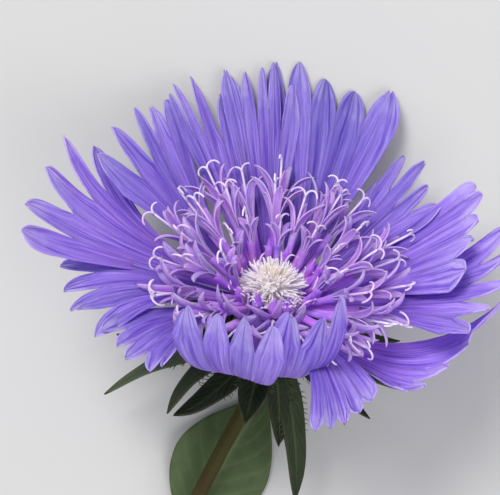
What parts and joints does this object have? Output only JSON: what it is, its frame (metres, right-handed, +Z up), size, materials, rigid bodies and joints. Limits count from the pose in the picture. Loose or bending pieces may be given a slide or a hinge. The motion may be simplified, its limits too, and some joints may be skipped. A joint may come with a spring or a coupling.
{
  "type": "stokes aster",
  "caption": "Picked blue-violet flower head with fringed ray florets round curled inner florets, leafy bracts, a leaf and a cut stem, lying on a surface.",
  "frame": {"origin": "on the surface that the flower lies on, under the middle of the box round the whole flower", "axes": "+Z up off the surface, +Y from the cut end towards the petal tips that touch the surface, +X to the right as the flower is looked down on"},
  "size_m": [0.0876, 0.1104, 0.052],
  "materials": {
    "petal": "soft, slightly translucent petal",
    "inner": "soft petal",
    "disc": "soft, pale",
    "bract": "satin leaf",
    "stem": "satin, finely downy",
    "leaf": "satin leaf"
  },
  "bodies": {
    "root": {"ray_florets": "petal", "inner_florets": "inner", "disc_buds": "disc", "involucre": "bract", "stem": "stem", "stem_leaf": "leaf"}
  },
  "joints": []
}
